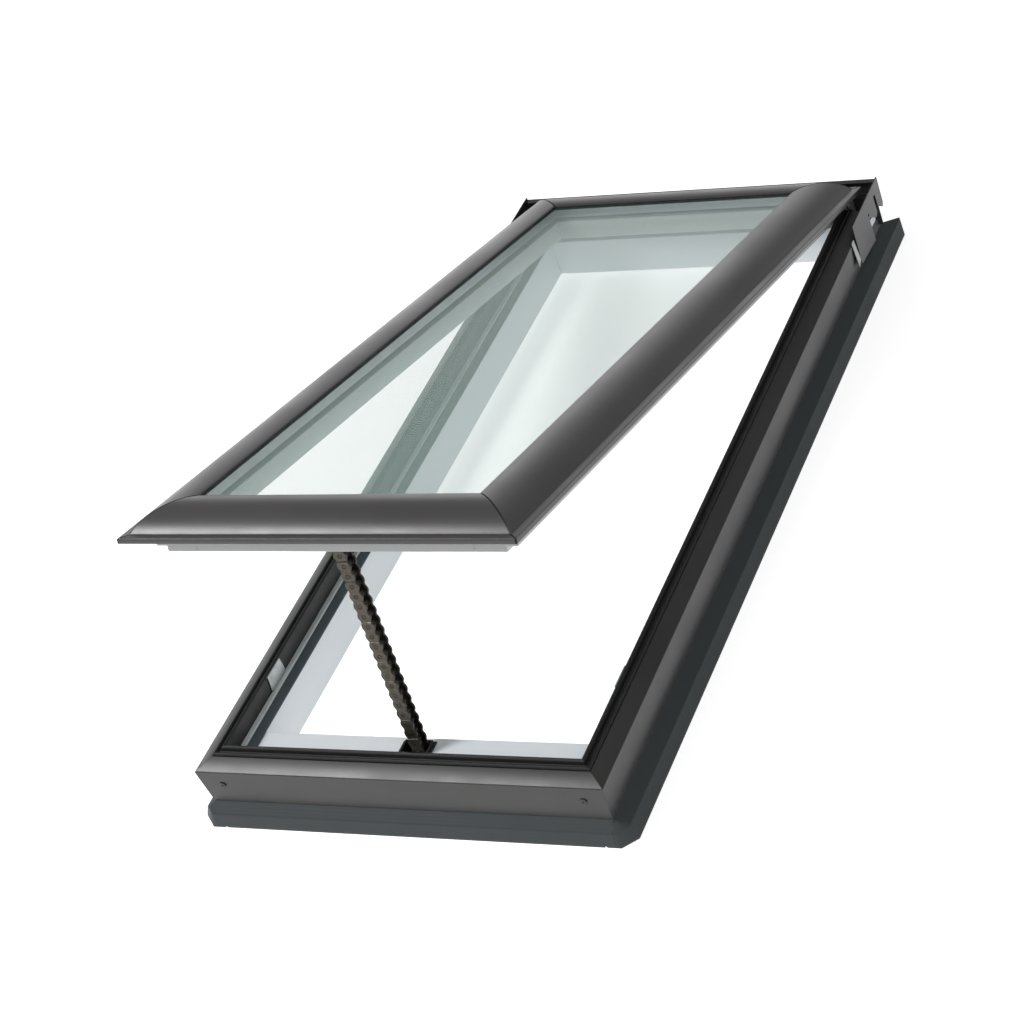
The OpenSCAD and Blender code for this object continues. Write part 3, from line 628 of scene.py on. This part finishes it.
@dataclass
class DeckSeal:
    """Ribbed rubber skirts that flare from under the cladding down to the deck.

    The front skirt is straight. Each side skirt wraps round its front corner, cut off at 45
    degrees there, and meets the front skirt in a fine seam.
    """

    flare_side: float = 19.0
    flare_front: float = 10.5
    past_head: float = 35.0
    chamfer: float = 17.0
    thick: float = 3.0
    leg: float = 6.6
    leg_top: float = 45.5
    fold: float = 31.5
    knee: float = 0.62
    knee_h: float = 18.76
    rib: float = 0.06
    ribs_upper: int = 4
    ribs_lower: int = 4
    seam_x: float = 268.0
    seam: float = 0.3
    seam_lap: float = 1.0
    nick: float = 2.6
    nick_in: float = 12.0
    nick_below: float = 3.0
    leg_step: float = 0.6
    leg_wall: float = 0.8
    fold_step: tuple[float, float] = (0.4, 1.0)
    knee_step: tuple[float, float] = (0.2, 0.8)
    knee_wall: tuple[float, float] = (0.8, 0.6)
    foot: tuple[float, float] = (0.5, 2.2)
    least_cut: float = 2.0
    cut_slope: float = 0.6
    tail_slope: tuple[float, float] = (2.0, 1.7)
    tail_from: float = 8.0
    leg_short: float = 2.0

    def ribbed(self, a: tuple[float, float], b: tuple[float, float], ribs: int) -> Array:
        """A straight run with low half-round ribs: the height over it is a rectified sine."""
        run = np.array(b) - np.array(a)
        length = np.linalg.norm(run)
        t = np.linspace(0, 1, 4 * ribs + 1)
        out = np.array([run[1], -run[0]]) / length
        lift = self.rib * np.abs(np.sin(t * ribs * math.pi))
        return np.array(a) + t[:, None] * run + lift[:, None] * out

    def outline(self, flare: float) -> Array:
        """The skirt's section: leg, upper band, lower band and the inner face back up."""
        knee = (-self.knee * flare, self.knee_h)
        leg_out, leg_in = self.leg - self.leg_step, self.leg - self.leg_step + self.leg_wall
        under_fold = (leg_out - self.fold_step[0], self.fold - self.fold_step[1])
        under_knee = (knee[0] - self.knee_step[0], knee[1] - self.knee_step[1])
        outer = np.concatenate(
            [
                [(leg_out, self.leg_top), (leg_out, self.fold)],
                self.ribbed(under_fold, knee, self.ribs_upper),
                self.ribbed(under_knee, (-flare, self.foot[1]), self.ribs_lower),
            ]
        )
        wall_in, wall_down = (share * self.thick for share in self.knee_wall)
        inner = [
            (-flare, self.foot[0]),
            (self.thick - flare, self.foot[0]),
            (knee[0] + wall_in, knee[1] - wall_down),
            (leg_in, self.fold - self.thick),
            (leg_in, self.leg_top),
        ]
        return np.concatenate([outer, inner])

    def front(self) -> Array:
        """The straight front skirt, with a nick in its foot near each end.

        The foot's points near it are lifted at the two middle stops of each nick's four.
        """
        section = self.outline(self.flare_front)
        nicks = self.seam_x - self.nick_in + np.array([-1.8, -0.3, 0.3, 1.8])
        stops = np.concatenate([-nicks[::-1], nicks])
        ends = np.array([self.seam_x - self.seam])
        along = np.concatenate([-ends, stops, ends])[:, None] + 0 * section[:, 0]
        middles = np.isin(np.arange(len(along)), (2, 3, 6, 7))
        lifted = middles[:, None] & (section[:, 1] < self.nick_below)
        inward = np.broadcast_to(section[:, 0], along.shape)
        return DECK.place(Side.FRONT)(along, inward, section[:, 1] + self.nick * lifted)

    def side(self, mirror: int) -> Array:
        """One side skirt: from the seam round the corner and along the frame to its rear end.

        Each point of the section follows its own path. At the corner it leaves the front line and
        joins the side line at the same distance from where they would cross, and that distance
        shrinks from the full chamfer at the foot towards the leg. At the rear the foot's corner is
        cut off and the rest is cut back, more and more towards the leg.
        """
        front, side = self.outline(self.flare_front), self.outline(self.flare_side)
        reach = side[:, 0] + self.flare_side
        cut = np.maximum(self.least_cut, self.chamfer - self.cut_slope * reach)
        x, y = HALF_W - side[:, 0], front[:, 0] - HALF_L
        foot_cut = np.maximum(0, self.chamfer - self.tail_slope[0] * reach)
        leg_cut = self.tail_slope[1] * np.maximum(0, reach - self.tail_from)
        rear = HALF_L + self.past_head - foot_cut - leg_cut
        rear = np.where(side[:, 1] > self.fold + self.fold_step[1], HALF_L - self.leg_short, rear)
        start = np.minimum(self.seam_x, x - cut - self.seam_lap)
        path = [(start, y), (x - cut, y), (x, y + cut), (x, rear)]
        return np.array([np.stack([mirror * px, py, side[:, 1]], -1) for px, py in path])

    def build(self) -> None:
        """Builds the front skirt and the two side skirts."""
        front = skin("deck_seal_front_skirt", [self.front()], SOFT_DEG)
        settle(front, SKIRT, "frame", "deck_seal_rubber", "deck_seal_front")
        for side, mirror in ((Side.LEFT, -1), (Side.RIGHT, 1)):
            piece = skin(f"deck_seal_{side.value}_skirt", [self.side(mirror)], SOFT_DEG)
            settle(piece, SKIRT, "frame", "deck_seal_rubber", f"deck_seal_{side.value}")


@dataclass
class FrameRubber:
    """Weather gaskets, light trim strips and inner gaskets inside the frame."""

    rebate: float = 34.5
    ledge: float = 65.0
    strip: float = 9.0
    leg: float = 32.5
    lip: float = 99.0
    foot: float = 88.0
    recess: float = 49.0
    corner_gap: float = 0.05

    def gasket(self) -> Array:
        """A twin-lipped section with a long leg down the rebate's face."""
        lip, top = self.lip, self.ledge + self.strip
        return rounded(
            [
                (20.2, self.foot),
                (20.2, lip - 5.0, 1.0),
                (22.2, lip - 2.6, 1.1),
                (24.0, lip - 4.6, 0.8),
                (25.0, lip - 7.0, 0.8),
                (28.0, lip - 6.5, 1.0),
                (29.3, lip - 2.0, 1.2),
                (31.2, lip, 1.2),
                (self.rebate, lip - 1.5, 1.0),
                (self.rebate, top, 0.5),
                (self.leg, top),
                (self.leg, self.foot),
            ],
            3,
        )

    def strips(self) -> dict[str, tuple[Array, Finish, str]]:
        """Sections of the trim strip and of the soft gasket beside it."""
        top, inner = self.ledge + self.strip, self.leg + 8.5
        trim = [(self.leg, self.ledge), (self.leg, top), (inner, top, 1.2), (inner, self.ledge)]
        soft = [
            (inner, self.ledge),
            (inner, top - 1.6, 0.6),
            (inner + 3.4, top - 3.4, 1.5),
            (49.0, self.ledge + 3.0, 1.2),
            (51.0, self.ledge + 1.4, 0.6),
            (51.0, self.ledge),
        ]
        return {
            "trim_strip": (rounded(trim), TRIM, "light_trim"),
            "inner_gasket": (rounded(soft), INNER_GASKET, "grey_rubber"),
        }

    def build(self) -> None:
        """Builds four weather gaskets, two trim strips and two inner gaskets."""
        section = self.gasket()
        for side, node in (
            (Side.FRONT, "weather_gasket_front"),
            (Side.REAR, "weather_gasket_head"),
            (Side.LEFT, "weather_gasket_left"),
            (Side.RIGHT, "weather_gasket_right"),
        ):
            start, end = DECK.mitre(side, section[:, 0], self.corner_gap)
            if side is Side.REAR:
                start, end = corner_of(node, False)[0], corner_of(node, True)[0]
            elif not side.across:
                end = HALF_L - self.recess
            piece = skin(f"{node}_lips", [member(section, start, end, DECK.place(side))])
            settle(piece, GASKET, "frame", "black_rubber", node)
        for stem, (outline, finish, slot) in self.strips().items():
            for side in (Side.LEFT, Side.RIGHT):
                node = f"{stem}_{side.value}"
                start, end = self.rebate - HALF_L, HALF_L - self.recess
                piece = skin(f"{node}_run", [member(outline, start, end, DECK.place(side))])
                settle(piece, finish, "frame", slot, node)


@dataclass
class CladdingScrews:
    """Two pan-head screws through the sill's cover, painted to match it."""

    from_side: float = 31.0
    height: float = 62.0
    radius: float = 4.4
    sunk: float = 0.4
    head: tuple[tuple[float, float], ...] = (
        (1.0, 0.0),
        (1.0, 0.6),
        (0.92, 1.0),
        (0.55, 1.3),
        (0.36, 1.35),
        (0.32, 0.6),
    )

    def build(self) -> None:
        """Turns each head from shares of its radius and heights: a low dome with a recess."""
        profile = np.array(self.head) * (self.radius, 1)
        face_y = corner_of("clad_screws", True)[1] - self.sunk

        def upright(points: Array, x: float) -> Array:
            """Turns a head's axis from Z to the front and moves it to its place."""
            across, up, out = np.moveaxis(points, -1, 0)
            return np.stack([x + across, face_y - out, self.height + up], -1)

        tubes = []
        for x in (self.from_side - HALF_W, HALF_W - self.from_side):
            tubes.append(lathe(profile, lambda points, x=x: upright(points, x)))
        settle(skin("clad_screws_heads", tubes), POWDER, "frame", "zinc_steel", "clad_screws")


# ---- sash ----


@dataclass
class SashCladding:
    """The sash's four bars: an upright lip, a flat flange and a rounded back up to the glass."""

    side_in: float = 15.0
    lip_over: float = 3.0
    rear_in: float = 7.5
    lip_base: float = 96.3
    width: float = 74.5
    lip: float = 7.4
    centre_in: float = 57.0
    centre_h: float = -27.0
    radius: float = 58.0
    sheet: float = 1.6
    glass_top: float = 26.8
    nose: float = 2.6
    joint: float = 3.0
    seal_low: float = 0.7
    lip_foot_r: float = 0.5
    lip_r: float = 1.1
    flange_r: float = 2.4
    flange_run: float = 2.0
    glass_run: float = 1.0
    glass_lip: float = 0.7
    outer_steps: int = 26
    inner_steps: int = 20

    def outline(self) -> Array:
        """The drawn sheet: outside over lip, flange and arc, then back along its inside."""
        centre = (self.centre_in, self.centre_h)
        inner_r = self.radius - self.sheet
        flange = self.centre_in - math.sqrt(self.radius**2 - (self.lip - self.centre_h) ** 2)
        under = self.lip - self.sheet
        flange_in = self.centre_in - math.sqrt(inner_r**2 - (under - self.centre_h) ** 2)
        last = self.width - self.glass_run
        outer = arc(centre, self.radius, flange + self.flange_run, last, self.outer_steps)
        inner = arc(centre, inner_r, self.width - self.nose, flange_in, self.inner_steps)
        edge = self.centre_h + math.sqrt(self.radius**2 - (self.width - self.centre_in) ** 2)
        foot, arris = (0, 0, self.lip_foot_r), (0, self.lip, self.lip_r)
        lip = rounded([foot, arris, (flange, self.lip, self.flange_r), outer[1]])[:-1]
        nose = [
            (self.width, edge - self.glass_lip),
            (self.width, self.glass_top),
            (self.width - self.nose, self.glass_top),
        ]
        return np.concatenate([lip, outer, nose, inner, [(self.sheet, under), (self.sheet, 0)]])

    def build(self) -> None:
        """Builds the bars, mitred with a fine open joint at each corner."""
        outline = self.outline()
        front, rear = -HALF_L - self.lip_over, HALF_L - self.rear_in
        ring = Outline(HALF_W - self.side_in, front, rear, self.lip_base, swings=True)
        for side, node in (
            (Side.FRONT, "sash_clad_bottom"),
            (Side.REAR, "sash_clad_top"),
            (Side.LEFT, "sash_clad_left"),
            (Side.RIGHT, "sash_clad_right"),
        ):
            start, end = ring.mitre(side, outline[:, 0], self.joint / 2)
            piece = skin(f"{node}_bar", [member(outline, start, end, ring.place(side))])
            # The bars take the lighter copy of the cladding's paint: painted light.
            settle(piece, LIT_POWDER_BAR, "sash", "dark_cladding", node)
        self.seal_mitres(ring)

    def seal_mitres(self, ring: Outline) -> None:
        """Fills each open mitre with a black seal that lies just under the bars' faces."""
        lower = replace(self, radius=self.radius - self.seal_low, lip=self.lip - self.seal_low)
        low = lower.outline()
        low[:, 0] = np.maximum(low[:, 0], self.seal_low)
        half = self.joint / 2
        tubes = [
            member(low, end - half, end + half, ring.place(side))
            for side in (Side.FRONT, Side.REAR)
            for end in ring.mitre(side, low[:, 0])
        ]
        settle(skin("sash_mitre_seals", tubes), GASKET, "sash", "black_rubber")


# ---- chain ----


def mirrored(profile: list[tuple[float, float]]) -> list[tuple[float, float]]:
    """Adds a profile's mirror image below depth zero, in reverse order."""
    return profile + [(radius, -depth) for radius, depth in reversed(profile)]


@dataclass
class PushChain:
    """The stiff chain that holds the sash up: paired plates, bushes and hollow rivets."""

    outlet_x: float = 6.0
    outlet_in: float = 69.0
    outlet_z: float = 70.0
    first_pin: float = 17.0
    wheel_z: float = 41.0
    nominal_pitch: float = 14.0
    plate_w: float = 17.0
    plate_t: float = 1.6
    depth: float = 18.0
    waist: float = 0.78
    fit: float = 0.15
    bevel: float = 0.35
    bush_r: float = 4.0
    bush_ease: tuple[float, float] = (0.3, 0.4)
    rivet_r: float = 3.0
    rivet_proud: float = 0.4
    rivet_bore: float = 6.0
    plate_past: float = 0.48
    plate_steps: int = 29
    bush_sides: int = 20
    rivet_sides: int = 16

    def __post_init__(self) -> None:
        """Works out the run from the pivot on the sash down to the wheel in the sill."""
        self.pivot = np.array(JOINTS["chain_end_pivot"]["pos_m"]) / MM
        outlet = np.array([self.outlet_x, self.outlet_in - HALF_L, self.outlet_z])
        up = self.pivot - outlet
        length = np.linalg.norm(up)
        self.outlet = outlet
        tilt, lean = -math.asin(up[1] / length), math.atan2(up[0], up[2])
        self.turn = np.array(Matrix.Rotation(lean, 3, "Y") @ Matrix.Rotation(tilt, 3, "X"))
        last = length * (self.pivot[2] - self.wheel_z) / up[2]
        self.links = round((last - self.first_pin) / self.nominal_pitch)
        self.pitch = (last - self.first_pin) / self.links

    def place(self, points: Array) -> Array:
        """Moves points from the chain's own axes, Z up along it from the pivot, into the part's."""
        return points @ self.turn.T + self.pivot

    def pin_z(self, k: float) -> float:
        """Height of pin k on the chain's own axis."""
        return -self.first_pin - k * self.pitch

    def plate(self, k: int, y0: float, y1: float) -> Array:
        """One link plate: half width is the larger of two circles about its pins and the waist.

        Args:
            k: the number of the plate's upper pin.
            y0: depth of one face.
            y1: depth of the other.

        Returns:
            A tube for skin(), with an eased edge on both faces.
        """
        lobe, past = self.plate_w / 2, self.plate_past * self.pitch

        def loop(inset: float) -> tuple[Array, Array]:
            """The closed outline, pulled in by an inset."""
            s = np.linspace(-past, self.pitch + past, self.plate_steps)
            near = np.minimum(np.abs(s), np.abs(s - self.pitch))
            half = np.maximum(np.sqrt(np.maximum(lobe**2 - near**2, 0)), self.waist * lobe) - inset
            s = np.clip(s, inset - past, self.pitch + past - inset)
            return np.concatenate([half, -half[::-1]]), np.concatenate([s, s[::-1]])

        rings = []
        bevel = self.bevel
        for y, inset in ((y0, bevel), (y0 + bevel, 0.0), (y1 - bevel, 0.0), (y1, bevel)):
            x, s = loop(inset)
            rings.append(np.stack([x, np.full_like(x, y), self.pin_z(k) - s], -1))
        return self.place(np.array(rings))

    def pair(self, k: int, face: float) -> list[Array]:
        """The two plates of link k, front and back, whose outer faces are at a depth."""
        inner = face - self.plate_t
        return [self.plate(k, inner, face), self.plate(k, -face, -inner)]

    def turned(self, k: float, profile: list[tuple[float, float]], around: int) -> Array:
        """A profile of (radius, depth) turned about pin k."""
        middle = np.array([0.0, 0.0, self.pin_z(k)])
        return lathe(np.array(profile), lambda p: self.place(p[..., [0, 2, 1]] + middle), around)

    def build(self) -> None:
        """Builds outer plates, inner plates with their bushes, and rivets, as three pieces."""
        face = self.depth / 2
        inner_face = face - self.plate_t - self.fit
        bush = inner_face - self.plate_t
        outer = [p for k in range(0, self.links, 2) for p in self.pair(k, face)]
        inner = [p for k in range(1, self.links, 2) for p in self.pair(k, inner_face)]
        thin, short = self.bush_ease
        drum = mirrored([(self.bush_r - thin, bush), (self.bush_r, bush - short)])
        for k in range(1, self.links, 2):
            inner += [self.turned(j, drum, self.bush_sides) for j in (k, k + 1)]
        r, head = self.rivet_r, face + self.rivet_proud
        shaft = mirrored(
            [
                (0.5 * r, face - self.rivet_bore),
                (0.55 * r, head - 0.2),
                (0.65 * r, head),
                (0.95 * r, head),
                (1.05 * r, head - 0.3),
            ]
        )
        rivets = [self.turned(k, shaft, self.rivet_sides) for k in range(1, self.links + 1)]
        for name, tubes, finish in (
            ("chain_outer_plates", outer, LINK),
            ("chain_inner_plates", inner, INNER_LINK),
            ("chain_rivets", rivets, RIVET),
        ):
            piece = skin(f"{name}_run", tubes)
            paints.dress(piece, finish)
            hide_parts(name)
            start, end = tuple(self.outlet * MM), tuple(self.pivot * MM)
            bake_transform(piece)
            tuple(start)
            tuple(end)
            log.info("%s: %d tubes from outlet to pivot", piece.name, len(tubes))


# ---- pieces kept from the CAD model, with eased edges ----


@dataclass
class EasedPieces:
    """Timber, covers and ironmongery whose CAD shape stays and whose edges are eased."""

    timber: float = 0.9
    sheet: float = 0.35
    plastic: float = 0.6

    def build(self) -> None:
        """Eases each family of pieces by its own width."""
        for node in ("frame_jamb_left", "frame_jamb_right"):
            eased(node, self.timber, PAINT_LONG)
        for node in ("frame_sill", "frame_head"):
            eased(node, self.timber, PAINT_CROSS)
        # The sash's timber takes the greyer copy of the white paint: painted shade.
        for node in ("sash_stile_left", "sash_stile_right", "sash_rail_bottom", "sash_rail_top"):
            eased(node, self.timber, SHADED_PAINT_SASH)
        for node in ("clad_head", "hinge_cover_left", "hinge_cover_right"):
            eased(node, self.sheet, POWDER)
        for node in (
            "catch_plate_left",
            "catch_plate_right",
            "cover_clips",
            "frame_hinge_left",
            "frame_hinge_right",
            "sash_hinge_left",
            "sash_hinge_right",
            "chain_bracket",
        ):
            eased(node, self.sheet, ZINC)
        eased("chain_end_block", self.sheet, LINK)
        for node in ("operator_housing", "operator_cover", "chain_outlet"):
            eased(node, self.plastic, ABS)

    def dress_rest(self) -> None:
        """Finishes every CAD node that still shows, by its material slot."""
        for node, piece in frame["nodes"].items():
            if piece.hide_render:
                continue
            finish = SLOT_FINISH[SLOT_OF[node]]
            for slot in piece.material_slots:
                slot.material = paints.of(finish)
            log.info("%s: finished in %s", node, finish.name)


# ---- studio ----


@dataclass
class Studio:
    """A plain pale floor, soft light from all round, and the camera."""

    floor: float = 14.0
    glow: float = 0.66
    sky_dim: float = 0.3
    sky_bright: float = 1.5
    band_aim: tuple[float, float, float] = (-0.38, 0.925, 0.0)
    band_near: tuple[float, float] = (0.88, 0.99)
    band_height: tuple[float, float] = (0.5, 0.02)
    key_at: tuple[float, float, float] = (-1.93, -1.57, 3.04)
    key_size: float = 0.8
    key_watts: float = 80.0
    fill_at: tuple[float, float, float] = (2.4, -2.6, 3.6)
    fill_size: float = 2.4
    fill_watts: float = 45.0
    lens: float = 101.38
    sensor: float = 36.0
    camera_at: tuple[float, float, float] = (1662.8, -2627.6, 2203.4)
    camera_right: tuple[float, float, float] = (0.88953427, 0.34679504, -0.29742561)
    camera_up: tuple[float, float, float] = (0.00440279, 0.64447204, 0.7646152)
    camera_ahead: tuple[float, float, float] = (-0.45684724, 0.68146092, -0.5717531)

    def ground(self) -> None:
        """Lays the floor: pale paper that glows a little, as a light table does."""
        s = self.floor / 2
        mesh = bpy.data.meshes.new("floor")
        mesh.from_pydata([(-s, -s, 0), (s, -s, 0), (s, s, 0), (-s, s, 0)], [], [(0, 1, 2, 3)])
        floor = bpy.data.objects.new("floor", mesh)
        bpy.context.scene.collection.objects.link(floor)
        paints.dress(floor, PAPER)
        shader = floor.data.materials[0].node_tree.nodes["Principled BSDF"]
        shader.inputs["Emission Color"].default_value = linear("#ffffff")
        shader.inputs["Emission Strength"].default_value = self.glow

    def sky(self) -> None:
        """Lights the scene from all round: dim, with a bright band low behind the object.

        The band is where a direction lies near the band's own and low over the horizon. Both
        fade out smoothly.
        """
        world = bpy.data.worlds.new("soft_studio")
        world.use_nodes = True
        tree = world.node_tree
        where = add(tree, "ShaderNodeTexCoord").outputs["Generated"]
        aim = {0: where, 1: self.band_aim}
        towards = add(tree, "ShaderNodeVectorMath", aim, operation="DOT_PRODUCT").outputs["Value"]
        height = add(tree, "ShaderNodeSeparateXYZ", {"Vector": where}).outputs["Z"]
        fades = []
        for value, (low, high) in ((towards, self.band_near), (height, self.band_height)):
            span = {"Value": value, "From Min": low, "From Max": high}
            fade = add(tree, "ShaderNodeMapRange", span, interpolation_type="SMOOTHSTEP")
            fades.append(fade.outputs["Result"])
        band = add(tree, "ShaderNodeMath", {0: fades[0], 1: fades[1]}, operation="MULTIPLY")
        levels = {"Value": band.outputs["Value"], "To Min": self.sky_dim, "To Max": self.sky_bright}
        strength = add(tree, "ShaderNodeMapRange", levels).outputs["Result"]
        background = tree.nodes["Background"]
        tree.links.new(strength, background.inputs["Strength"])
        background.inputs["Color"].default_value = linear("#fdfdff")
        bpy.context.scene.world = world

    def lamp(self, name: str, at: tuple[float, float, float], size: float, watts: float) -> None:
        """Hangs a square area light that looks at the frame's middle."""
        data = bpy.data.lights.new(name, "AREA")
        data.size = size
        data.energy = watts
        light = bpy.data.objects.new(name, data)
        aim = Vector(at) * -1
        turned = aim.to_track_quat("-Z", "Y").to_matrix().to_4x4()
        light.matrix_world = Matrix.Translation(at) @ turned
        bpy.context.scene.collection.objects.link(light)

    def camera(self) -> None:
        """Sets the camera up from its place and its three axes."""
        data = bpy.data.cameras.new("camera")
        data.lens = self.lens
        data.sensor_width = self.sensor
        data.clip_end = 100.0
        camera = bpy.data.objects.new("camera", data)
        axes = np.stack([self.camera_right, self.camera_up, -np.array(self.camera_ahead)], 1)
        place = np.eye(4)
        place[:3, :3] = axes
        place[:3, 3] = np.array(self.camera_at) * MM
        camera.matrix_world = Matrix(place.tolist())
        bpy.context.scene.collection.objects.link(camera)
        bpy.context.scene.camera = camera

    def build(self) -> None:
        """Builds floor, sky, lamps and camera."""
        self.ground()
        self.sky()
        self.lamp("key_front_left", self.key_at, self.key_size, self.key_watts)
        self.lamp("fill_camera_side", self.fill_at, self.fill_size, self.fill_watts)
        self.camera()
        bpy.context.scene.view_settings.view_transform = "Standard"


def main() -> None:
    """Builds every piece in order."""
    logging.basicConfig(level=logging.INFO, format="%(message)s")
    eased_pieces = EasedPieces()
    for assembly in (
        FrameCladding(),
        DeckSeal(),
        FrameRubber(),
        CladdingScrews(),
        SashCladding(),
        PushChain(),
        eased_pieces,
    ):
        log.info("-- %s", type(assembly).__name__)
        assembly.build()
    eased_pieces.dress_rest()
    Studio().build()


if __name__ == "__main__":
    main()
